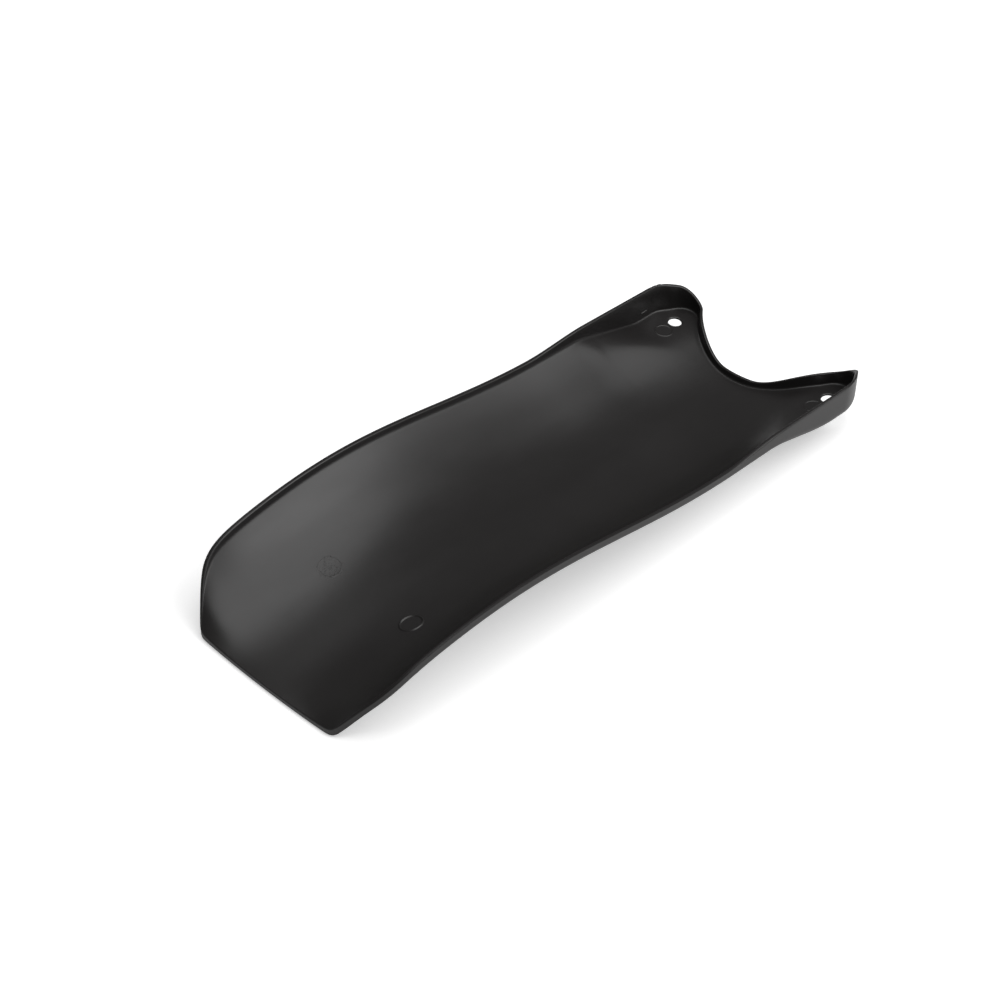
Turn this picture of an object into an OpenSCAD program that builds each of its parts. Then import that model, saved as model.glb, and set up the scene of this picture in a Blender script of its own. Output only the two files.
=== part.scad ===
// Shock mud flap: a one-piece moulded plastic trough that shields a motorcycle's rear shock.
// X runs from the wide end to the two ears, Z is up, and the open side of the trough faces up.
// The flap lies on its wide end and on the middle of the trough. Sizes are in millimetres.

/* [Outline] */
// Length of the side edges, from the wide end to the ears' outer corners
side_len = 300; // [250:1:360]
// Width across the straight sides and across the ears
flap_w = 120.8; // [100:0.2:150]
// Width where the end chamfers run into the sides
shoulder_w = 112; // [96:0.2:120]
// Distance from the wide end over which the sides open out to the full width
taper_len = 190; // [120:1:220]
// Length of the straight edge at the wide end, between the chamfers
end_w = 80.6; // [60:1:94]
// Distance along the flap that each end chamfer takes up
chamfer_len = 16; // [8:1:30]
// How far the middle of the wide end stands out past its corners
end_bow = 1.2; // [0:0.1:4]

/* [Notch and ears] */
// Radius of the round notch between the ears
notch_r = 47.7; // [40:0.1:60]
// Depth of the notch behind the ears' tips
notch_depth = 23.2; // [15:0.2:30]
// How far the ears' tips reach past their outer corners
tip_reach = 15; // [10:0.2:24]
// Rounding of the ears' tips in plan
tip_r = 9.5; // [5:0.5:12]
// Rounding of the ears' outer corners in plan
ear_corner_r = 3.4; // [2:0.1:6]
// Distance over which the low side lips grow into the ears' deep walls
ear_blend = 50; // [40:1:80]
// Distance from the ears' outer corners back to where their floors are level along the flap
ear_flat = 12; // [2:1:30]

/* [Trough] */
// Height of the arch along the middle of the floor
arch_rise = 10.3; // [0:0.1:20]
// Distance from the wide end to where the arch has come down again
arch_len = 215; // [150:1:235]
// Skew of the arch: below 1 its top lies nearer to the wide end
arch_skew = 0.8; // [0.6:0.01:1.2]
// Height of the floor's edges above its middle, along the straight sides
side_rise = 20.8; // [8:0.1:30]
// Sharpness of the upturn towards the side edges
side_curl = 2.8; // [2:0.1:4]
// Distance over which the flat wide end curls up into the trough
scoop_len = 13; // [8:0.5:30]
// Height of the ears' pads above the middle of the trough
pad_rise = 10.1; // [6:0.1:14]
// Distance from the middle line at which the pads begin
pad_y = 40; // [30:0.5:46]
// Slope of the pads towards the side walls
pad_slope = 0.1; // [0:0.01:0.4]
// Height that the middle of the floor gains on its way to the notch
notch_rise = 2.2; // [0:0.1:5]

/* [Walls] */
// Thickness of the floor
skin_t = 2.3; // [1.6:0.1:3.5]
// Width of the lip's top along the straight sides
lip_w = 1.9; // [1.4:0.1:4]
// Height of the side lips above the floor
lip_h = 2; // [0.5:0.1:5]
// Thickness of the walls around the ears and the notch
ear_wall_t = 1.6; // [1.2:0.1:3]
// Extra height that the side lips gain towards the ears
ear_lift = 2.8; // [0:0.1:8]
// Height of the rim above the floor at the bottom of the notch
notch_rim_h = 3.1; // [1:0.1:8]
// Height that the rim gains from the bottom of the notch to the ears' tips
tip_climb = 10.2; // [4:0.1:14]
// Rounding of all top edges
edge_r = 0.5; // [0.2:0.05:0.7]
// Fillet between the floor and the walls
fillet_r = 1; // [0.5:0.1:3]
// Rounding under the side lips
lip_under_r = 0.8; // [0.2:0.1:1.2]
// Rounding under the ears
ear_under_r = 4; // [0.5:0.1:4.5]

/* [Screw holes] */
// Diameter of the two screw holes
hole_d = 6.5; // [4:0.1:9]
// Distance between the two screw holes
hole_spacing = 93; // [70:0.2:104]
// Distance of the screw holes behind the ears' outer corners
hole_setback = 0; // [-4:0.1:14]
// Chamfer around the top of each screw hole
hole_chamfer = 0.8; // [0:0.1:1.2]

/* [Mesh] */
// Strips across the floor
strips_across = 32; // [16:2:40]
// Strips along the floor from the wide end to the ears
strips_along = 28; // [16:1:40]

/* [Hidden] */
$fn = 64;
plastic = [0.09, 0.09, 0.095];
half_w = flap_w / 2;
total_len = side_len + tip_reach;
// Start of the zone in which the rows bend to follow the notch
ear_start = side_len - ear_flat - ear_blend;
ear_strips = 12;
// Softness of the bend between a chamfer and a side, and that of the wide end's corners with their cut
shoulder_soft = 3.5;
end_corner_soft = 1.2;
corner_cut = 1.6;
chamfer_slope = (shoulder_w - end_w) / 2 / chamfer_len;
// Sharpness of the curl at the wide end
scoop_power = 1.4;
// Softness of the bend between the trough and an ear's pad
pad_soft = 1.2;
// Rows bunch up towards the wide end and columns towards the sides
row_bunch = 1.35;
column_bunch = 0.25;
// The notch and the tips are arcs that touch, and the end edges are tangent to the tips
notch_x = total_len - notch_depth;
notch_cx = notch_x + notch_r;
tip_cx = total_len - tip_r;
tip_cy = sqrt(pow(notch_r + tip_r, 2) - pow(notch_cx - tip_cx, 2));
notch_end_y = tip_cy * notch_r / (notch_r + tip_r);
tip_to_corner = norm([side_len - tip_cx, half_w - tip_cy]);
tip_turn = atan2(half_w - tip_cy, side_len - tip_cx) - acos(tip_r / tip_to_corner);
tip_end = [tip_cx + tip_r * cos(tip_turn), tip_cy + tip_r * sin(tip_turn)];
// A wall's top is flat between its two rounded edges, and its foot has a fillet
WALL_STEPS = 6;
foot_clear = 0.25;
slope_step = 0.5;
// Share of the notch's half width over which its rim is still level
climb_start = 0.2;

function clamp01(a) = max(0, min(1, a));
function smooth(a) = let (u = clamp01(a)) u * u * (3 - 2 * u);
function mix(a, b, u) = a + (b - a) * u;
function soft_min(a, b, r) = min(a, b) - r * ln(1 + exp(-abs(a - b) / r));
function soft_plus(a, r) = max(a, 0) + r * ln(1 + exp(-abs(a) / r));

// Half of the width at a distance x from the wide end
function side_half(x) =
    let (u = clamp01(x / taper_len),
         side = mix(shoulder_w / 2, half_w, u * (1.5 - 0.5 * u * u)),
         chamfer = end_w / 2 + chamfer_slope * x)
    soft_min(chamfer, side, shoulder_soft);

// Outline of the ear end: where it lies along X at a distance y from the middle
function end_x(y) =
    let (a = abs(y))
    a < notch_end_y ? notch_cx - sqrt(notch_r * notch_r - a * a)
    : a < tip_end[1] ? tip_cx + sqrt(tip_r * tip_r - pow(a - tip_cy, 2))
    : mix(tip_end[0], side_len, (a - tip_end[1]) / (half_w - tip_end[1]));
function end_slope(y) = (end_x(abs(y) + slope_step) - end_x(abs(y) - slope_step)) / (2 * slope_step);
// How far inside the ear end, along X, a line runs that keeps a distance d from it
function end_inset(y, d) = d * norm([1, end_slope(min(abs(y), half_w - slope_step))]);

// 0 along the straight sides and 1 at the ears
function ear_share(x) = smooth((x - ear_start) / ear_blend);
function side_wall_t(x) = mix(lip_w, ear_wall_t, ear_share(x));
function under_r(x) = mix(lip_under_r, ear_under_r, ear_share(x));

// Height of the floor's middle line
function middle_z(x) = skin_t + arch_rise * pow(sin(180 * pow(clamp01(x / arch_len), arch_skew)), 2);
function scoop(x) = 1 - exp(-pow(max(x, 0) / scoop_len, scoop_power));

// Top surface of the floor
function floor_z(x, y) =
    let (v = abs(y) / (side_half(x) - side_wall_t(x)),
         trough = side_rise * scoop(x) * pow(v, side_curl),
         pad = pad_rise + pad_slope * (abs(y) - pad_y),
         ear = soft_min(pad_rise * pow(y / pad_y, 2), pad, pad_soft),
         lift = notch_rise * pow(max(0, x - ear_start) / (notch_x - ear_start), 2))
    middle_z(x) + mix(trough, ear, ear_share(x)) + lift * max(0, 1 - v * v);
function floor_grad(x, y) =
    [(floor_z(x + slope_step, y) - floor_z(x - slope_step, y)) / (2 * slope_step),
     (floor_z(x, y + slope_step) - floor_z(x, y - slope_step)) / (2 * slope_step)];

// Height of the walls' tops along the sides and along the notch
function side_top(x) =
    middle_z(x) + side_rise * scoop(x) + lip_h * scoop(x)
    + ear_lift * smooth(0.75 + (x - ear_start) / (0.8 * ear_blend));
function notch_top(y) =
    let (low = skin_t + notch_rise + notch_rim_h,
         last_climb = side_top(side_len) - low - tip_climb,
         tip_share = smooth((abs(y) / notch_end_y - climb_start) / (1 - climb_start)),
         corner_share = smooth((abs(y) - notch_end_y) / (half_w - notch_end_y)))
    low + tip_climb * tip_share + last_climb * corner_share;

// Distance of each wall step from the outer face: fillet, inner face, top, outer face
function wall_step(k, t) =
    [t + fillet_r, t + 0.3 * fillet_r + foot_clear, t + foot_clear, t, t - edge_r, edge_r, 0][k];
// Height of each wall step, from a floor at height low to a wall top at height high
function step_z(k, low, high) =
    let (h = max(0, high - low),
         fillet = min(fillet_r, h / 2),
         edge = min(edge_r, h / 3))
    k < 0 ? low
    : [low, low + 0.25 * fillet, low + fillet, high - edge, high, high, high - edge][k];
function under_raise(d, r) = d < r ? r - sqrt(r * r - pow(r - d, 2)) : 0;

// Columns run from one side to the other: wall steps, floor strips, wall steps
last_col = strips_across + 2 * WALL_STEPS;
function col_step(j) = max(WALL_STEPS - j, j - last_col + WALL_STEPS);
function col_y(j, half, t) =
    let (k = col_step(j),
         a = (j - last_col / 2) / (strips_across / 2),
         inner = half - wall_step(0, t))
    k > 0 ? sign(a) * (half - wall_step(k, t))
    : inner * a * (1 + column_bunch * (1 - a * a));

// Rows run from the wide end's edge to the notch: floor strips, ear strips, wall steps
body_rows = strips_along + 1;
last_row = body_rows + ear_strips + WALL_STEPS;
function row_step(i) = i - body_rows - ear_strips;
function row_x(i) =
    i == 0 ? 0 : mix(edge_r, ear_start, pow((i - 1) / strips_along, row_bunch));
// Rounding and bow of the wide end, at a share v of the half width
function start_x(v) =
    let (reach = side_half(corner_cut))
    end_bow * v * v + soft_plus((abs(v) * reach - end_w / 2) / chamfer_slope, end_corner_soft);

// Distances a and b from two edges that meet, changed so that their corner is round with radius r
function round_corner(a, b, r) =
    let (p = r - a, q = r - b, s = max(p, q) / max(foot_clear, norm([p, q])))
    p > 0 && q > 0 ? [r - p * s, r - q * s] : [a, b];

function plan_point(i, j) =
    i <= body_rows
    ? let (x = row_x(i),
           fade = max(0, 1 - x / chamfer_len),
           half = side_half(x + corner_cut * fade),
           y = col_y(j, half, side_wall_t(x)),
           bent = x + start_x(y / half) * fade)
      [bent, y]
    : let (u = (i - body_rows) / ear_strips,
           k = row_step(i),
           guess = mix(ear_start, side_len, clamp01(u)),
           square_y = col_y(j, half_w, side_wall_t(guess)),
           inset = wall_step(max(0, k), ear_wall_t),
           in = k < 0 ? [half_w - abs(square_y), inset]
               : round_corner(half_w - abs(square_y), inset, ear_corner_r),
           y = sign(square_y) * (half_w - in[0]),
           edge_x = end_x(y) - end_inset(y, in[1]))
      [mix(ear_start, edge_x, min(1, u)), y];

function top_point(i, j) =
    let (p = plan_point(i, j),
         low = floor_z(p[0], p[1]),
         side = step_z(col_step(j), low, max(low, side_top(p[0]))),
         end = step_z(row_step(i), low, max(low, notch_top(p[1]))),
         z = max(side, end))
    [p[0], p[1], i == 0 ? z - edge_r : z];
function under_point(i, j) =
    let (p = plan_point(i, j),
         k = col_step(j),
         side_d = k < 0 ? fillet_r + lip_w : wall_step(k, side_wall_t(p[0])),
         end_d = row_step(i) < 0 ? fillet_r + lip_w : wall_step(row_step(i), ear_wall_t),
         r = under_r(p[0]),
         raise = max(under_raise(side_d, r), under_raise(end_d, r)),
         z = floor_z(p[0], p[1]) - skin_t * norm([1, norm(floor_grad(p[0], p[1]))]))
    [p[0], p[1], max(0, z) + (i == 0 ? edge_r : raise)];

loop_len = 2 * (last_col + 1);
function top_id(i, j) = i * loop_len + j;
function under_id(i, j) = i * loop_len + loop_len - 1 - j;
// Two triangles for one cell; the diagonal is mirrored across the middle line
function cell(a, b, c, d, flip) = flip ? [[a, b, c], [a, c, d]] : [[a, b, d], [b, c, d]];

module flap_shell() {
    points = [for (i = [0:last_row]) each concat(
        [for (j = [0:last_col]) top_point(i, j)],
        [for (j = [last_col:-1:0]) under_point(i, j)])];
    skins = [for (i = [0:last_row - 1], j = [0:last_col - 1])
        let (flip = j < last_col / 2)
        each concat(
            cell(top_id(i, j), top_id(i, j + 1), top_id(i + 1, j + 1), top_id(i + 1, j), flip),
            cell(under_id(i, j), under_id(i + 1, j), under_id(i + 1, j + 1), under_id(i, j + 1), flip))];
    sides = [for (i = [0:last_row - 1]) each concat(
        cell(top_id(i, 0), top_id(i + 1, 0), under_id(i + 1, 0), under_id(i, 0), true),
        cell(top_id(i, last_col), under_id(i, last_col),
             under_id(i + 1, last_col), top_id(i + 1, last_col), true))];
    ends = [for (j = [0:last_col - 1]) each concat(
        cell(top_id(0, j), under_id(0, j), under_id(0, j + 1), top_id(0, j + 1), true),
        cell(top_id(last_row, j), top_id(last_row, j + 1),
             under_id(last_row, j + 1), under_id(last_row, j), true))];
    polyhedron(points, concat(skins, sides, ends), convexity = 6);
}

// A round hole square to the ear's floor, with a chamfer at its mouth
module screw_hole() {
    x = side_len - hole_setback;
    y = hole_spacing / 2;
    grad = floor_grad(x, y);
    lean = -atan(grad[0]);
    translate([x, y, floor_z(x, y)])
        rotate([atan(grad[1] * cos(lean)), lean, 0]) {
            translate([0, 0, -2 * skin_t])
                cylinder(h = 3 * skin_t, d = hole_d);
            if (hole_chamfer > 0)
                translate([0, 0, -hole_chamfer])
                    cylinder(h = 2 * hole_chamfer, d1 = hole_d, d2 = hole_d + 4 * hole_chamfer);
        }
}

module flap() {
    color(plastic)
        translate([-total_len / 2, 0, 0])
            difference() {
                flap_shell();
                screw_hole();
                mirror([0, 1, 0]) screw_hole();
            }
}

flap();
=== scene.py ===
# Looks of the shock mud flap: a fine, smooth mesh of the part, its black plastic, a pale floor,
# two softboxes and the camera. The formulas of the part work in millimetres, with x from the
# wide end and z from the table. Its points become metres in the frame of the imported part, whose
# x starts at the middle of the length, when a mesh is made. Stage, lights and camera are in metres.
import math

import bmesh
import bpy
import numpy as np
from mathutils import Matrix, Vector


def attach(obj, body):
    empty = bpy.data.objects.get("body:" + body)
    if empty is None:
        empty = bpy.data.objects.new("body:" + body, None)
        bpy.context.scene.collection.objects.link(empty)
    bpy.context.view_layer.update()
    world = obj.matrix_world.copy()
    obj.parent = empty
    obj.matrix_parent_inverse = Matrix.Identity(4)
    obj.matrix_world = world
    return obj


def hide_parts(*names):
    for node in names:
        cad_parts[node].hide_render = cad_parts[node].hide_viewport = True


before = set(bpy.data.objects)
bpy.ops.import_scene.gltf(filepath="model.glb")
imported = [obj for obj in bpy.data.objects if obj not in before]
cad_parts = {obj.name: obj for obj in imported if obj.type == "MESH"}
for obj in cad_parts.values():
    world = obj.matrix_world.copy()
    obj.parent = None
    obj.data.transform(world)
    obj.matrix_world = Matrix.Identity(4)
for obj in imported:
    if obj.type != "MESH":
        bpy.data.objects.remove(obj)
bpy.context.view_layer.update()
MM = 0.001

# Outline: long sides, wide end with its cut corners, notch and ears
SIDE_LEN, FLAP_W, SHOULDER_W, TAPER_LEN = 300.0, 120.8, 112.0, 190.0
END_W, CHAMFER_LEN, END_BOW = 80.6, 16.0, 1.2
NOTCH_R, NOTCH_DEPTH, TIP_REACH, TIP_R, EAR_CORNER_R = 47.7, 23.2, 15.0, 9.5, 3.4
SHOULDER_SOFT, END_CORNER_SOFT, CORNER_CUT = 3.5, 1.2, 1.6

# Length over which the trough turns into the ears, and the length of the ears' straight part
EAR_BLEND, EAR_FLAT = 50.0, 12.0

# Floor: arch along the middle, curl of the sides, scoop at the wide end, rise to the notch
ARCH_RISE, ARCH_LEN, ARCH_SKEW = 10.3, 215.0, 0.8
SIDE_RISE, SIDE_CURL, SCOOP_LEN, SCOOP_POWER = 20.8, 2.8, 13.0, 1.4
NOTCH_RISE = 2.2

# Ears: the bowl's height at PAD_Y, then the flat pads that cut it off with a fold
PAD_RISE, PAD_Y = 10.1, 40.0
PAD_X, PAD_Z, PAD_CLIMB, PAD_TILT, PAD_BEND = 283.0, 12.9, 0.24, 0.025, 2.0
PAD_SLOPE, PAD_TWIST, PAD_STEEPEST, PAD_SOFT = 0.075, 0.0004, 0.45, 0.6
FOLD_START, FOLD_FADE, FOLD_MIN_Y = 231.0, 10.0, 24.0

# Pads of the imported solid, which the underside follows, and the least thickness kept above it
PACKED_PAD_SLOPE, PACKED_PAD_SOFT, THINNEST = 0.1, 1.2, 0.8

# Skin, lips and walls
SKIN_T, LIP_W, LIP_H, EAR_WALL_T, DRAFT = 2.3, 1.9, 2.0, 1.6, 0.25
EAR_LIFT, LIFT_LEAD, LIFT_SPREAD = 2.8, 0.75, 0.8
NOTCH_RIM_H, TIP_CLIMB, CLIMB_START = 3.1, 10.2, 0.2
EDGE_R, FILLET_R, LIP_UNDER_R, EAR_UNDER_R = 0.5, 1.0, 0.8, 4.0

# Screw holes, on the line where the sides end, and the tool that cuts them
HOLE_D, HOLE_SPACING, HOLE_MOUTH_R = 6.5, 93.0, 0.8
CUTTER_DEPTH, CUTTER_RISE, CUTTER_FLARE, CUTTER_SIDES, MOUTH_STEPS = 8.0, 1.5, 0.6, 72, 6

# Mesh: steps of the wall profile, columns and rows, and rings of the band round the edge
FILLET_STEPS, WALL_FACE_STEPS, EDGE_STEPS = 5, 3, 4
FLOOR_COLS, COL_CROWDING = 84, 0.25
END_EDGE_ROWS, BODY_ROWS, ROW_CROWDING, EAR_ROWS = 5, 140, 1.25, 52
EDGE_BAND = (0.12, 0.5, 0.88)

# Half the length over which slopes are taken, the distance that stands for off the walls,
# the least reach that a rounded corner is divided by, and the angle in degrees past which
# edges are shaded sharp
SLOPE_STEP, OFF_WALL, LEAST_REACH, SHARP_ANGLE = 0.5, 99.0, 0.25, 42

# Marks of ejector pins near the wide end: a clear ring on the near side, and on the far side
# a faint ring with rough specks in and round it
PIN_X, PIN_Y, PIN_R = 57.4, 24.5, 4.7
NEAR_PIN_W, NEAR_PIN_H = 1.2, 0.36
FAR_PIN_W, FAR_PIN_H = 1.0, 0.06
SPECK_AREA_R, SPECK_COUNT, SPECK_SIDES, SPECK_SEED, SPECK_SPREAD = 5.6, 150, 6, 7, 0.6
SPECK_R, SPECK_R_MORE, SPECK_H, SPECK_H_MORE, SPECK_SINK = 0.25, 0.25, 0.06, 0.16, 0.03

# Rings beside the screw holes, and how every ring is drawn
HOLE_RING_X, HOLE_RING_Y, HOLE_RING_R, HOLE_RING_W, HOLE_RING_H = 290.3, 45.3, 4.3, 1.0, 0.2
RING_POINTS, RING_SINK, RING_FLANK = 96, 0.04, 0.6

# Dash on the inner face of the far ear's side wall
DASH_X, DASH_Z, DASH_POINTS = (287.9, 293.5), (16.5, 16.8), 12
DASH_H, DASH_HALF_FOOT, DASH_HALF_TOP, DASH_SINK = 0.45, 0.7, 0.2, 0.1

# Faint flow lines: one on the middle of the floor, one beside it with a slight wave
LINE_W, LINE_SINK, END_FADE = 0.5, 0.01, 0.15
MIDDLE_LINE_X, MIDDLE_LINE_Y, MIDDLE_LINE_POINTS, MIDDLE_LINE_H = (187, 229), 0.4, 40, 0.05
SIDE_LINE_X, SIDE_LINE_Y, SIDE_LINE_POINTS, SIDE_LINE_H = (81, 171), 20.5, 60, 0.04
SIDE_LINE_WAVE, SIDE_LINE_STRETCH = 1.2, 60

# Plastic: each noise as scale, detail and roughness, each bump as strength and distance in metres
CLOUD_NOISE, GRAIN_NOISE, STREAK_NOISE = (22, 3, 0.55), (2600, 2, 0.6), (60, 3, 0.6)
STREAK_STRETCH = (0.35, 1.4, 1.0)
NOISE_LOW, NOISE_HIGH = 0.3, 0.7
DEEP_BLACK, SOFT_BLACK = (0.0118, 0.0108, 0.0106, 1), (0.0150, 0.0138, 0.0136, 1)
ROUGH_LOW, ROUGH_HIGH = 0.32, 0.38
GRAIN_BUMP, CLOUD_BUMP = (0.12, 0.00012), (0.25, 0.0004)
PLASTIC_IOR = 1.5

# Stage, in metres: the floor, its lift to white where the camera sees it, and the world's fill
FLOOR_HALF, FLOOR_DROP, FLOOR_GREY = 6.0, 0.0002, 0.9
FLOOR_LIFT, LIFT_FROM, LIFT_TO = 0.43, 0.35, 1.1
FILL = 0.13
WHITE = (1, 1, 1, 1)

# Camera: its place is in metres from the middle of the wide end
SENSOR_W, LENS, SHIFT_X, SHIFT_Y, CLIP_START, CLIP_END = 36, 66.5, 0.0005, 0.001, 0.05, 30
CAMERA_RIGHT, CAMERA_UP = (0.70549, -0.70872, 0.0), (0.43537, 0.43339, 0.78906)
CAMERA_PLACE = (-0.30535, -0.43478, 0.49929)

HALF_W = FLAP_W / 2
TOTAL = SIDE_LEN + TIP_REACH
EAR_START = SIDE_LEN - EAR_FLAT - EAR_BLEND
CHAMFER_SLOPE = (SHOULDER_W - END_W) / 2 / CHAMFER_LEN
NOTCH_X = TOTAL - NOTCH_DEPTH
NOTCH_CX = NOTCH_X + NOTCH_R
TIP_CX = TOTAL - TIP_R
TIP_CY = math.sqrt((NOTCH_R + TIP_R) ** 2 - (NOTCH_CX - TIP_CX) ** 2)
NOTCH_END_Y = TIP_CY * NOTCH_R / (NOTCH_R + TIP_R)
TIP_TURN = math.atan2(HALF_W - TIP_CY, SIDE_LEN - TIP_CX) - math.acos(
    TIP_R / math.hypot(SIDE_LEN - TIP_CX, HALF_W - TIP_CY)
)
TIP_END = (TIP_CX + TIP_R * math.cos(TIP_TURN), TIP_CY + TIP_R * math.sin(TIP_TURN))


def smooth(a):
    """Eases from 0 to 1 while a goes from 0 to 1."""
    u = np.clip(a, 0, 1)
    return u * u * (3 - 2 * u)


def mix(a, b, u):
    return a + (b - a) * u


def soft_min(a, b, r):
    """The lower of two heights, with a bend of softness r where they cross."""
    return np.minimum(a, b) - r * np.log(1 + np.exp(-np.abs(a - b) / r))


def soft_plus(a, r):
    """Zero below zero and a above it, with a bend of softness r."""
    return np.maximum(a, 0) + r * np.log(1 + np.exp(-np.abs(a) / r))


def side_half(x):
    """Half the width at x: the cut corner, then a taper that runs out at TAPER_LEN with no bend."""
    u = np.clip(x / TAPER_LEN, 0, 1)
    side = mix(SHOULDER_W / 2, HALF_W, u * (1.5 - 0.5 * u * u))
    return soft_min(END_W / 2 + CHAMFER_SLOPE * x, side, SHOULDER_SOFT)


def start_x(v):
    """How far the wide end's edge stands back at v, a share of the half width."""
    reach = side_half(CORNER_CUT)
    past_corner = (np.abs(v) * reach - END_W / 2) / CHAMFER_SLOPE
    return END_BOW * v * v + soft_plus(past_corner, END_CORNER_SOFT)


def end_x(y):
    """The other end's edge: the notch's arc, the tip's arc, then a straight line to the corner."""
    a = np.abs(y)
    notch = NOTCH_CX - np.sqrt(np.maximum(NOTCH_R**2 - a * a, 0))
    tip = TIP_CX + np.sqrt(np.maximum(TIP_R**2 - (a - TIP_CY) ** 2, 0))
    edge = mix(TIP_END[0], SIDE_LEN, (a - TIP_END[1]) / (HALF_W - TIP_END[1]))
    return np.where(a < NOTCH_END_Y, notch, np.where(a < TIP_END[1], tip, edge))


def end_inset(y, d):
    """Distance along x that lies d inside that edge, measured square to it."""
    h = SLOPE_STEP
    a = np.minimum(np.abs(y), HALF_W - h)
    slope = (end_x(a + h) - end_x(a - h)) / (2 * h)
    return d * np.sqrt(1 + slope * slope)


def ear_share(x):
    return smooth((x - EAR_START) / EAR_BLEND)


def side_wall_t(x):
    return mix(LIP_W, EAR_WALL_T, ear_share(x))


def scoop(x):
    return 1 - np.exp(-((np.maximum(x, 0) / SCOOP_LEN) ** SCOOP_POWER))


def middle_z(x):
    return SKIN_T + ARCH_RISE * np.sin(np.pi * np.clip(x / ARCH_LEN, 0, 1) ** ARCH_SKEW) ** 2


def bowl_z(x, y, ear):
    """The trough's floor, which turns into the height given for the ears near the notch."""
    v = np.abs(y) / (side_half(x) - side_wall_t(x))
    trough = SIDE_RISE * scoop(x) * v**SIDE_CURL
    lift = NOTCH_RISE * (np.maximum(0, x - EAR_START) / (NOTCH_X - EAR_START)) ** 2
    return middle_z(x) + mix(trough, ear, ear_share(x)) + lift * np.maximum(0, 1 - v * v)


def packed_floor_z(x, y):
    """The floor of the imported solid, whose softer pads give this mesh its underside."""
    pad = PAD_RISE + PACKED_PAD_SLOPE * (np.abs(y) - PAD_Y)
    return bowl_z(x, y, soft_min(PAD_RISE * (y / PAD_Y) ** 2, pad, PACKED_PAD_SOFT))


def pad_z(x, y):
    """The ear's flat pad: nearly level along the outer wall from PAD_X on, higher before it."""
    run = soft_plus(PAD_X - x, PAD_BEND)
    at_wall = PAD_Z + PAD_CLIMB * run + PAD_TILT * np.maximum(0, x - PAD_X)
    slope = np.minimum(PAD_STEEPEST, PAD_SLOPE + PAD_TWIST * np.maximum(0, PAD_X - x) ** 2)
    return at_wall - slope * (HALF_W - LIP_W - np.abs(y))


def floor_z(x, y):
    """The floor that is seen: the bowl, cut off by the flat pads at the ears."""
    bowl = bowl_z(x, y, PAD_RISE * (y / PAD_Y) ** 2)
    fold = smooth((x - FOLD_START) / FOLD_FADE) * smooth((np.abs(y) - FOLD_MIN_Y) / FOLD_FADE)
    return mix(bowl, soft_min(bowl, pad_z(x, y), PAD_SOFT), fold)


def grad(height, x, y):
    """The slopes of a height function along x and y."""
    h = SLOPE_STEP
    return (
        (height(x + h, y) - height(x - h, y)) / (2 * h),
        (height(x, y + h) - height(x, y - h)) / (2 * h),
    )


def side_top(x):
    """The top of the side walls' lip."""
    lift = EAR_LIFT * smooth(LIFT_LEAD + (x - EAR_START) / (LIFT_SPREAD * EAR_BLEND))
    return middle_z(x) + (SIDE_RISE + LIP_H) * scoop(x) + lift


def notch_top(y):
    """The top of the end wall: low at the notch's middle, climbing to the tips and the corners."""
    low = SKIN_T + NOTCH_RISE + NOTCH_RIM_H
    last = side_top(SIDE_LEN) - low - TIP_CLIMB
    share = smooth((np.abs(y) / NOTCH_END_Y - CLIMB_START) / (1 - CLIMB_START))
    corner = smooth((np.abs(y) - NOTCH_END_Y) / (HALF_W - NOTCH_END_Y))
    return low + TIP_CLIMB * share + last * corner


def wall_profile():
    """The wall's section, one row a step from the fillet's foot over the top to the outer face.

    Three numbers make the inset: a share of the wall's thickness, and two offsets in mm.
    Three make the height: shares of the wall's height, of the fillet and of the edge's rounding.
    """
    steps = []
    for i in range(FILLET_STEPS):
        a = 0.5 * math.pi * i / (FILLET_STEPS - 1)
        steps.append((1, DRAFT, FILLET_R * (1 - math.sin(a)), 0, 1 - math.cos(a), 0))
    for i in range(1, WALL_FACE_STEPS):
        u = i / WALL_FACE_STEPS
        steps.append((1, DRAFT * (1 - u), 0, u, 1 - u, -u))
    for i in range(EDGE_STEPS):
        b = 0.5 * math.pi * i / (EDGE_STEPS - 1)
        steps.append((1, -EDGE_R * (1 - math.cos(b)), 0, 1, 0, -1 + math.sin(b)))
    for i in range(EDGE_STEPS):
        b = 0.5 * math.pi * i / (EDGE_STEPS - 1)
        steps.append((0, EDGE_R * (1 - math.sin(b)), 0, 1, 0, -1 + math.cos(b)))
    return np.array(steps)


PROFILE = wall_profile()
N_WALL = len(PROFILE)

# Columns across the part: each one's step on the wall profile, below zero on the floor,
# its side of the middle line, and its share of the floor's half width
LAST_COL = FLOOR_COLS + 2 * N_WALL
COL = np.arange(LAST_COL + 1)
COL_STEP = np.maximum(N_WALL - 1 - COL, COL - LAST_COL + N_WALL - 1)
COL_SIDE = np.sign(COL - LAST_COL / 2)
COL_SHARE = (COL - LAST_COL / 2) / (FLOOR_COLS / 2 + 1)

# Rows along the trough: a few over the wide end's rounded edge, the rest closer near that end
BODY_XS = np.concatenate([
    EDGE_R * (1 - np.cos(np.linspace(0, 0.5 * np.pi, END_EDGE_ROWS))),
    EDGE_R + (EAR_START - EDGE_R) * (np.arange(1, BODY_ROWS + 1) / BODY_ROWS) ** ROW_CROWDING,
])


def wall_inset(k, t):
    """Distance inside the outline of profile step k, for a wall of thickness t."""
    p = PROFILE[np.clip(k, 0, N_WALL - 1)]
    return p[..., 0] * t + p[..., 1] + p[..., 2]


def wall_z(k, low, high):
    """Height of profile step k on a wall from low to high, or low itself for a step below zero."""
    p = PROFILE[np.clip(k, 0, N_WALL - 1)]
    h = np.maximum(0, high - low)
    fillet, edge = np.minimum(FILLET_R, h / 2), np.minimum(EDGE_R, h / 3)
    z = low + p[..., 3] * h + p[..., 4] * fillet + p[..., 5] * edge
    return np.where(k < 0, low, z)


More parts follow.
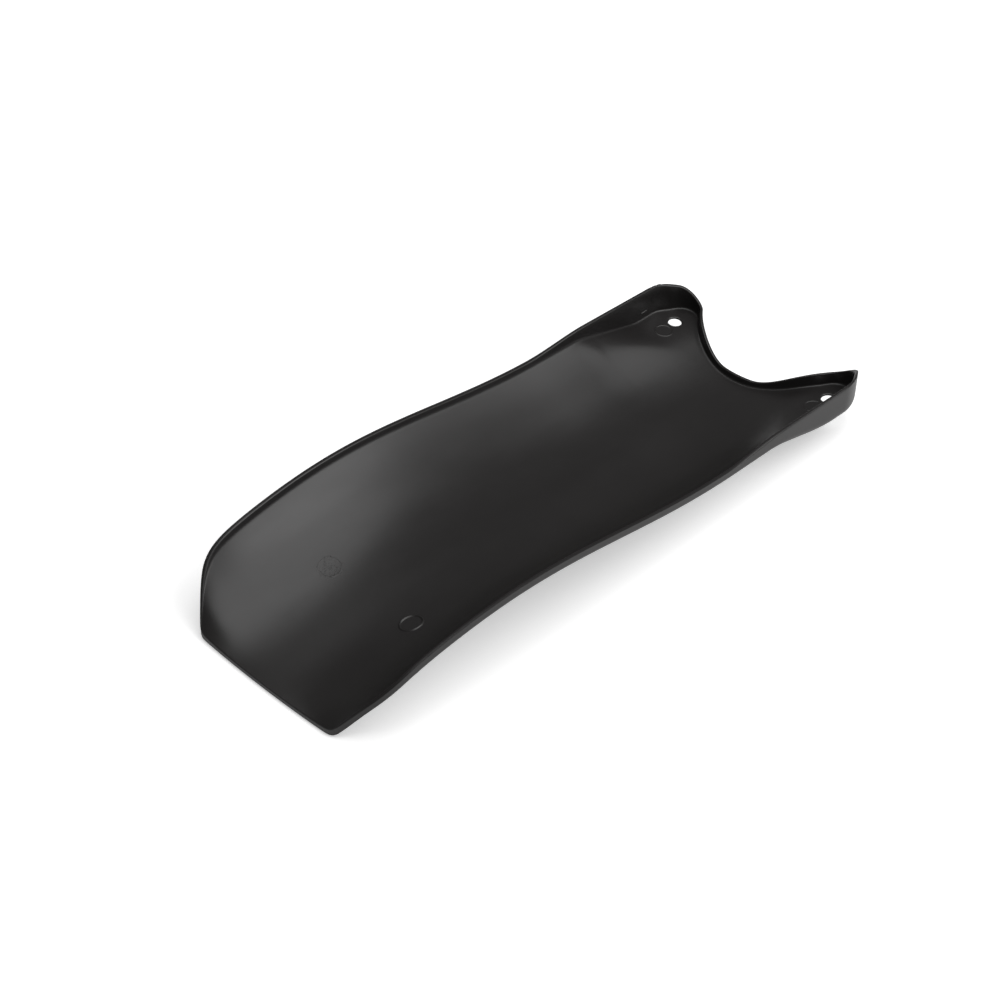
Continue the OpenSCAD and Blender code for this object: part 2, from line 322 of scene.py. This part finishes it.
def under_raise(d, r):
    """How far a rounding of radius r lifts the underside at distance d inside the outline."""
    return np.where(d < r, r - np.sqrt(np.maximum(r * r - (r - d) ** 2, 0)), 0)


def round_corner(a, b, r):
    """Distances a and b from two edges, moved so that their corner has radius r."""
    p, q = r - a, r - b
    s = np.maximum(p, q) / np.maximum(LEAST_REACH, np.hypot(p, q))
    on = (p > 0) & (q > 0)
    return np.where(on, r - p * s, a), np.where(on, r - q * s, b)


def col_y(half, t):
    """The columns' places across, for a half width and a wall thickness."""
    wall_y = COL_SIDE * (half - wall_inset(COL_STEP, t))
    inner = half - wall_inset(0, t)
    floor_y = inner * COL_SHARE * (1 + COL_CROWDING * (1 - COL_SHARE * COL_SHARE))
    return np.where(COL_STEP >= 0, wall_y, floor_y)


def body_row(x0):
    """A row across the trough, bent back along the wide end's edge while x0 is near that end."""
    fade = max(0.0, 1 - x0 / CHAMFER_LEN)
    half = float(side_half(x0 + CORNER_CUT * fade))
    y = col_y(half, float(side_wall_t(x0)))
    return x0 + start_x(y / half) * fade, y


def ear_row(i):
    """Row i from the ears' start: it turns into the end's edge by EAR_ROWS, then climbs the wall."""
    k = i - EAR_ROWS
    u = min(1.0, i / EAR_ROWS)
    square = col_y(HALF_W, float(side_wall_t(mix(EAR_START, SIDE_LEN, u))))
    da = HALF_W - np.abs(square)
    db = np.full_like(square, wall_inset(max(0, k), EAR_WALL_T))
    if k >= 0:
        da, db = round_corner(da, db, EAR_CORNER_R)
    y = np.sign(square) * (HALF_W - da)
    edge = end_x(y) - end_inset(y, db)
    return mix(EAR_START, edge, u), y


def row_heights(x, y, k_row):
    """Heights of top and underside along a row at step k_row of the end wall, and the lift that
    the rounded edges give the underside."""
    low = floor_z(x, y)
    z_side = wall_z(COL_STEP, low, np.maximum(low, side_top(x)))
    z_end = wall_z(k_row, low, np.maximum(low, notch_top(y)))
    z = np.maximum(z_side, z_end)
    gx, gy = grad(packed_floor_z, x, y)
    d_side = np.where(COL_STEP < 0, OFF_WALL, wall_inset(COL_STEP, side_wall_t(x)))
    d_end = np.where(k_row < 0, OFF_WALL, wall_inset(k_row, EAR_WALL_T))
    r = mix(LIP_UNDER_R, EAR_UNDER_R, ear_share(x))
    lift = np.maximum(under_raise(d_side, r), under_raise(d_end, r))
    drop = SKIN_T * np.sqrt(1 + gx * gx + gy * gy)
    under = np.maximum(0, packed_floor_z(x, y) - drop) + lift
    return z, np.minimum(under, z - THINNEST), lift


def lattice():
    """Top skin and under skin, each as an array of rows, columns and coordinates."""
    rows = [(*body_row(x0), -1) for x0 in BODY_XS]
    rows += [(*ear_row(i), i - EAR_ROWS) for i in range(1, EAR_ROWS + N_WALL)]
    tops, unders = [], []
    for i, (x, y, k_row) in enumerate(rows):
        z, under, lift = row_heights(x, y, k_row)
        if i < END_EDGE_ROWS:
            cut = EDGE_R * (1 - math.sin(0.5 * math.pi * i / (END_EDGE_ROWS - 1)))
            z = z - cut
            under = np.maximum(under, under - lift + cut)
        tops.append(np.stack([x - TOTAL / 2, y, z], 1))
        unders.append(np.stack([x - TOTAL / 2, y, under], 1))
    return np.array(tops), np.array(unders)


def skin_mesh(name):
    """The shell as one closed mesh: top skin, under skin and the edge band between them."""
    tops, unders = lattice()
    n, m = tops.shape[:2]
    verts = [tops.reshape(-1, 3), unders.reshape(-1, 3)]
    off = n * m
    i, j = np.meshgrid(np.arange(n - 1), np.arange(m - 1), indexing="ij")
    q = (i * m + j).ravel()
    faces = [
        np.stack([q, q + m, q + m + 1, q + 1], 1),
        off + np.stack([q, q + 1, q + m + 1, q + m], 1),
    ]
    ring = np.concatenate([
        np.arange(m),
        np.arange(1, n) * m + m - 1,
        (n - 1) * m + np.arange(m - 2, -1, -1),
        np.arange(n - 2, 0, -1) * m,
    ])
    top_ring, under_ring = verts[0][ring], verts[1][ring]
    rings = [ring]
    start = 2 * off
    for share in EDGE_BAND:
        verts.append(mix(top_ring, under_ring, share))
        rings.append(np.arange(start, start + len(ring)))
        start += len(ring)
    rings.append(off + ring)
    for upper, lower in zip(rings[:-1], rings[1:]):
        faces.append(np.stack([upper, np.roll(upper, -1), np.roll(lower, -1), lower], 1))
    mesh = bpy.data.meshes.new(name)
    mesh.from_pydata((np.concatenate(verts) * MM).tolist(), [], np.concatenate(faces).tolist())
    mesh.validate()
    return mesh


def surface_point(x, y, lift):
    """A point on the floor, lifted along its normal."""
    gx, gy = grad(floor_z, x, y)
    s = 1 / np.sqrt(1 + gx * gx + gy * gy)
    z = floor_z(x, y)
    return np.stack([x - lift * gx * s - TOTAL / 2, y - lift * gy * s, z + lift * s], -1)


def strip_faces(rows, n):
    """Faces between rows of n points each, laid side by side."""
    return [
        (k * n + i, k * n + i + 1, (k + 1) * n + i + 1, (k + 1) * n + i)
        for k in range(rows - 1)
        for i in range(n - 1)
    ]


def end_fade(u):
    """Tapers a mark out at both of its ends."""
    return np.minimum(1, np.minimum(u, 1 - u) / END_FADE)


def ring_mark(x, y, radius, width, height):
    """A fine raised ring on the floor, as an ejector pin leaves it."""
    n = RING_POINTS
    t = np.linspace(0, 2 * math.pi, n, endpoint=False)
    flank = height * RING_FLANK
    # Across the ring: shares of its width, and heights
    section = [(-0.5, -RING_SINK), (-0.25, flank), (0, height), (0.25, flank), (0.5, -RING_SINK)]
    rows = []
    for s, h in section:
        r = radius + s * width
        rows.append(surface_point(x + r * np.cos(t), y + r * np.sin(t), h))
    faces = []
    for k in range(len(section) - 1):
        for i in range(n):
            a, b = k * n + i, k * n + (i + 1) % n
            faces.append((a, a + n, b + n, b))
    return np.concatenate(rows), faces


def speck_patch(x, y):
    """Low raised specks scattered over a disc, where an ejector pin has left a rough face."""
    rng = np.random.default_rng(SPECK_SEED)
    verts, faces = [], []
    n = SPECK_SIDES
    for _ in range(SPECK_COUNT):
        r = SPECK_AREA_R * rng.random() ** SPECK_SPREAD
        turn = rng.random() * 2 * math.pi
        size = SPECK_R + SPECK_R_MORE * rng.random()
        height = SPECK_H + SPECK_H_MORE * rng.random()
        cx, cy = x + r * math.cos(turn), y + r * math.sin(turn)
        t = np.linspace(0, 2 * math.pi, n, endpoint=False) + turn
        foot = surface_point(cx + size * np.cos(t), cy + size * np.sin(t), -SPECK_SINK)
        top = surface_point(np.array([cx]), np.array([cy]), height)
        start = len(verts)
        verts.extend(list(foot) + list(top))
        faces.extend((start + k, start + (k + 1) % n, start + n) for k in range(n))
    return verts, faces


def wall_dash():
    """A short raised dash on the inner face of the far ear's side wall."""
    u = np.linspace(0, 1, DASH_POINTS)
    x, z = mix(*DASH_X, u) - TOTAL / 2, mix(*DASH_Z, u)
    wall_y = HALF_W - EAR_WALL_T
    foot = np.full_like(u, wall_y + DASH_SINK)
    top = wall_y - DASH_H * end_fade(u)
    rows = [(-DASH_HALF_FOOT, foot), (-DASH_HALF_TOP, top), (DASH_HALF_TOP, top), (DASH_HALF_FOOT, foot)]
    verts = np.concatenate([np.stack([x, y, z + dz], 1) for dz, y in rows])
    return verts, strip_faces(len(rows), len(u))


def line_mark(points, height):
    """A faint raised line on the floor through points (x, y), tapering out at both ends."""
    p = np.array(points, float)
    d = np.gradient(p, axis=0)
    d /= np.linalg.norm(d, axis=1)[:, None]
    side = np.stack([-d[:, 1], d[:, 0]], 1)
    rise = height * end_fade(np.linspace(0, 1, len(p)))
    section = [(-0.5, 0), (0, 1), (0.5, 0)]
    rows = []
    for s, h in section:
        q = p + side * s * LINE_W
        rows.append(surface_point(q[:, 0], q[:, 1], h * rise - LINE_SINK))
    return np.concatenate(rows), strip_faces(len(section), len(p))


def moulding_marks():
    """Every mark on the flap, each as its points and faces."""
    side_line = []
    for x in np.linspace(*SIDE_LINE_X, SIDE_LINE_POINTS):
        wave = SIDE_LINE_WAVE * math.sin((x - SIDE_LINE_X[0]) / SIDE_LINE_STRETCH)
        side_line.append((x, SIDE_LINE_Y + wave))
    middle_line = [(x, MIDDLE_LINE_Y) for x in np.linspace(*MIDDLE_LINE_X, MIDDLE_LINE_POINTS)]
    return [
        ring_mark(PIN_X, -PIN_Y, PIN_R, NEAR_PIN_W, NEAR_PIN_H),
        ring_mark(PIN_X, PIN_Y, PIN_R, FAR_PIN_W, FAR_PIN_H),
        speck_patch(PIN_X, PIN_Y),
        ring_mark(HOLE_RING_X, HOLE_RING_Y, HOLE_RING_R, HOLE_RING_W, HOLE_RING_H),
        ring_mark(HOLE_RING_X, -HOLE_RING_Y, HOLE_RING_R, HOLE_RING_W, HOLE_RING_H),
        wall_dash(),
        line_mark(middle_line, MIDDLE_LINE_H),
        line_mark(side_line, SIDE_LINE_H),
    ]


def hole_cutter(sign):
    """Body of revolution that cuts a screw hole with a rounded mouth, square to the ear's floor."""
    x, y = np.array(SIDE_LEN), np.array(sign * HOLE_SPACING / 2)
    gx, gy = (float(g) for g in grad(floor_z, x, y))
    axis = Vector((-gx, -gy, 1)).normalized()
    r = HOLE_D / 2
    profile = [(0, -CUTTER_DEPTH), (r, -CUTTER_DEPTH), (r, -HOLE_MOUTH_R)]
    for i in range(1, MOUTH_STEPS + 1):
        a = 0.5 * math.pi * i / MOUTH_STEPS
        profile.append((r + HOLE_MOUTH_R * (1 - math.cos(a)), -HOLE_MOUTH_R * (1 - math.sin(a))))
    profile += [(r + HOLE_MOUTH_R + CUTTER_FLARE, CUTTER_RISE), (0, CUTTER_RISE)]
    bm = bmesh.new()
    verts = [bm.verts.new((p * MM, 0, z * MM)) for p, z in profile]
    edges = [bm.edges.new(pair) for pair in zip(verts, verts[1:])]
    bmesh.ops.spin(
        bm,
        geom=verts + edges,
        cent=(0, 0, 0),
        axis=(0, 0, 1),
        angle=2 * math.pi,
        steps=CUTTER_SIDES,
        use_merge=True,
    )
    bmesh.ops.remove_doubles(bm, verts=bm.verts, dist=1e-7)
    bmesh.ops.recalc_face_normals(bm, faces=bm.faces)
    place = Matrix.Translation(Vector((float(x) - TOTAL / 2, float(y), float(floor_z(x, y)))) * MM)
    bm.transform(place @ Vector((0, 0, 1)).rotation_difference(axis).to_matrix().to_4x4())
    mesh = bpy.data.meshes.new("hole_cutter")
    bm.to_mesh(mesh)
    bm.free()
    obj = bpy.data.objects.new("hole_cutter", mesh)
    bpy.context.collection.objects.link(obj)
    return obj


def build_flap():
    """The flap's shell with its holes cut and its moulding marks added."""
    obj = bpy.data.objects.new("flap_skin", skin_mesh("flap_skin"))
    bpy.context.collection.objects.link(obj)
    cutters = [hole_cutter(1), hole_cutter(-1)]
    for cutter in cutters:
        mod = obj.modifiers.new("hole", "BOOLEAN")
        mod.operation = "DIFFERENCE"
        mod.solver = "EXACT"
        mod.object = cutter
    bpy.context.view_layer.update()
    depsgraph = bpy.context.evaluated_depsgraph_get()
    mesh = bpy.data.meshes.new_from_object(obj.evaluated_get(depsgraph))
    obj.modifiers.clear()
    obj.data = mesh
    mesh.name = "flap_skin"
    for cutter in cutters:
        bpy.data.objects.remove(cutter)
    bm = bmesh.new()
    bm.from_mesh(mesh)
    for verts, faces in moulding_marks():
        made = [bm.verts.new(Vector(p) * MM) for p in verts]
        for face in faces:
            bm.faces.new([made[k] for k in face])
    bmesh.ops.recalc_face_normals(bm, faces=bm.faces)
    bm.to_mesh(mesh)
    bm.free()
    mesh.shade_smooth()
    mesh.set_sharp_from_angle(angle=math.radians(SHARP_ANGLE))
    return obj


def plastic_material():
    """Satin black plastic: wide soft clouds in its colour, streaks in its gloss, a fine grain."""
    mat = bpy.data.materials.new("satin_black_plastic")
    mat.use_nodes = True
    nodes, links = mat.node_tree.nodes, mat.node_tree.links
    bsdf = nodes["Principled BSDF"]
    coord = nodes.new("ShaderNodeTexCoord")

    def noise(settings, stretch=None):
        node = nodes.new("ShaderNodeTexNoise")
        for socket, value in zip(("Scale", "Detail", "Roughness"), settings):
            node.inputs[socket].default_value = value
        source = coord.outputs["Object"]
        if stretch:
            mapping = nodes.new("ShaderNodeMapping")
            mapping.inputs["Scale"].default_value = stretch
            links.new(source, mapping.inputs["Vector"])
            source = mapping.outputs["Vector"]
        links.new(source, node.inputs["Vector"])
        return node.outputs["Fac"]

    def spread(source, low, high):
        node = nodes.new("ShaderNodeMapRange")
        node.inputs["From Min"].default_value = NOISE_LOW
        node.inputs["From Max"].default_value = NOISE_HIGH
        node.inputs["To Min"].default_value = low
        node.inputs["To Max"].default_value = high
        links.new(source, node.inputs["Value"])
        return node.outputs["Result"]

    def bump(source, settings):
        node = nodes.new("ShaderNodeBump")
        for socket, value in zip(("Strength", "Distance"), settings):
            node.inputs[socket].default_value = value
        links.new(source, node.inputs["Height"])
        return node

    cloud = noise(CLOUD_NOISE)
    colour = nodes.new("ShaderNodeMix")
    colour.data_type = "RGBA"
    colour.inputs["A"].default_value = DEEP_BLACK
    colour.inputs["B"].default_value = SOFT_BLACK
    links.new(spread(cloud, 0.0, 1.0), colour.inputs["Factor"])
    links.new(colour.outputs["Result"], bsdf.inputs["Base Color"])
    streak = noise(STREAK_NOISE, STREAK_STRETCH)
    links.new(spread(streak, ROUGH_LOW, ROUGH_HIGH), bsdf.inputs["Roughness"])
    fine = bump(noise(GRAIN_NOISE), GRAIN_BUMP)
    wide = bump(cloud, CLOUD_BUMP)
    links.new(fine.outputs["Normal"], wide.inputs["Normal"])
    links.new(wide.outputs["Normal"], bsdf.inputs["Normal"])
    bsdf.inputs["IOR"].default_value = PLASTIC_IOR
    return mat


def floor_material():
    """A matt pale floor that the camera sees lifted to white, and that is clear from below."""
    mat = bpy.data.materials.new("studio_floor")
    mat.use_nodes = True
    nodes, links = mat.node_tree.nodes, mat.node_tree.links
    bsdf = nodes["Principled BSDF"]
    bsdf.inputs["Base Color"].default_value = (FLOOR_GREY, FLOOR_GREY, FLOOR_GREY, 1)
    bsdf.inputs["Roughness"].default_value = 1.0
    bsdf.inputs["Specular IOR Level"].default_value = 0.0
    # The lift grows with the distance from the part, where the softboxes' light falls off
    coord = nodes.new("ShaderNodeTexCoord")
    reach = nodes.new("ShaderNodeVectorMath")
    reach.operation = "LENGTH"
    links.new(coord.outputs["Object"], reach.inputs[0])
    grow = nodes.new("ShaderNodeMapRange")
    grow.inputs["From Min"].default_value = LIFT_FROM
    grow.inputs["From Max"].default_value = LIFT_TO
    grow.inputs["To Min"].default_value = FLOOR_LIFT
    grow.inputs["To Max"].default_value = 1.0
    links.new(reach.outputs["Value"], grow.inputs["Value"])
    path = nodes.new("ShaderNodeLightPath")
    lift = nodes.new("ShaderNodeMath")
    lift.operation = "MULTIPLY"
    links.new(path.outputs["Is Camera Ray"], lift.inputs[0])
    links.new(grow.outputs["Result"], lift.inputs[1])
    bsdf.inputs["Emission Color"].default_value = WHITE
    links.new(lift.outputs[0], bsdf.inputs["Emission Strength"])
    geometry = nodes.new("ShaderNodeNewGeometry")
    clear = nodes.new("ShaderNodeBsdfTransparent")
    side = nodes.new("ShaderNodeMixShader")
    links.new(geometry.outputs["Backfacing"], side.inputs[0])
    links.new(bsdf.outputs[0], side.inputs[1])
    links.new(clear.outputs[0], side.inputs[2])
    links.new(side.outputs[0], nodes["Material Output"].inputs["Surface"])
    return mat


def build_stage():
    """The floor, and a world that fills the shade a little and is white to the camera."""
    mesh = bpy.data.meshes.new("studio_floor")
    s, z = FLOOR_HALF, -FLOOR_DROP
    mesh.from_pydata([(-s, -s, z), (s, -s, z), (s, s, z), (-s, s, z)], [], [(0, 1, 2, 3)])
    floor = bpy.data.objects.new("studio_floor", mesh)
    bpy.context.collection.objects.link(floor)
    mesh.materials.append(floor_material())

    world = bpy.data.worlds.new("studio")
    world.use_nodes = True
    bpy.context.scene.world = world
    nodes, links = world.node_tree.nodes, world.node_tree.links
    back = nodes["Background"]
    back.inputs["Color"].default_value = WHITE
    back.inputs["Strength"].default_value = FILL
    white = nodes.new("ShaderNodeBackground")
    white.inputs["Color"].default_value = WHITE
    white.inputs["Strength"].default_value = 1.0
    path = nodes.new("ShaderNodeLightPath")
    mixer = nodes.new("ShaderNodeMixShader")
    links.new(path.outputs["Is Camera Ray"], mixer.inputs[0])
    links.new(back.outputs[0], mixer.inputs[1])
    links.new(white.outputs[0], mixer.inputs[2])
    links.new(mixer.outputs[0], nodes["World Output"].inputs["Surface"])


def softbox(name, azimuth, elevation, distance, size, radiance, shift=(0, 0)):
    """A flat softbox facing the part from a direction in degrees, at a plain radiance."""
    az, el = math.radians(azimuth), math.radians(elevation)
    back = Vector((math.cos(az) * math.cos(el), math.sin(az) * math.cos(el), math.sin(el)))
    across = Vector((-math.sin(az), math.cos(az), 0))
    rise = back.cross(across)
    data = bpy.data.lights.new(name, "AREA")
    data.shape = "RECTANGLE"
    data.size, data.size_y = size
    data.energy = radiance * math.pi * size[0] * size[1]
    light = bpy.data.objects.new(name, data)
    m = Matrix((across, rise, back)).transposed().to_4x4()
    m.translation = back * distance + across * shift[0] + rise * shift[1]
    light.matrix_world = m
    bpy.context.collection.objects.link(light)


def build_camera():
    data = bpy.data.cameras.new("camera")
    data.sensor_width = SENSOR_W
    data.lens = LENS
    data.shift_x = SHIFT_X
    data.shift_y = SHIFT_Y
    data.clip_start = CLIP_START
    data.clip_end = CLIP_END
    cam = bpy.data.objects.new("camera", data)
    right, up = Vector(CAMERA_RIGHT), Vector(CAMERA_UP)
    m = Matrix((right, up, right.cross(up))).transposed().to_4x4()
    from_end_x, place_y, place_z = CAMERA_PLACE
    m.translation = Vector((from_end_x - TOTAL / 2 * MM, place_y, place_z))
    cam.matrix_world = m
    bpy.context.collection.objects.link(cam)
    bpy.context.scene.camera = cam


flap = build_flap()
flap.data.materials.clear()
flap.data.materials.append(plastic_material())
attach(flap, "root")
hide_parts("flap")

build_stage()
softbox(
    "overhead_softbox",
    azimuth=-45,
    elevation=84,
    distance=1.5,
    size=(1.45, 1.5),
    radiance=2.2,
    shift=(0.05, 0),
)
softbox("side_softbox", azimuth=-58, elevation=42, distance=1.5, size=(1.1, 1.0), radiance=3.1)
build_camera()
bpy.context.scene.view_settings.view_transform = "Standard"
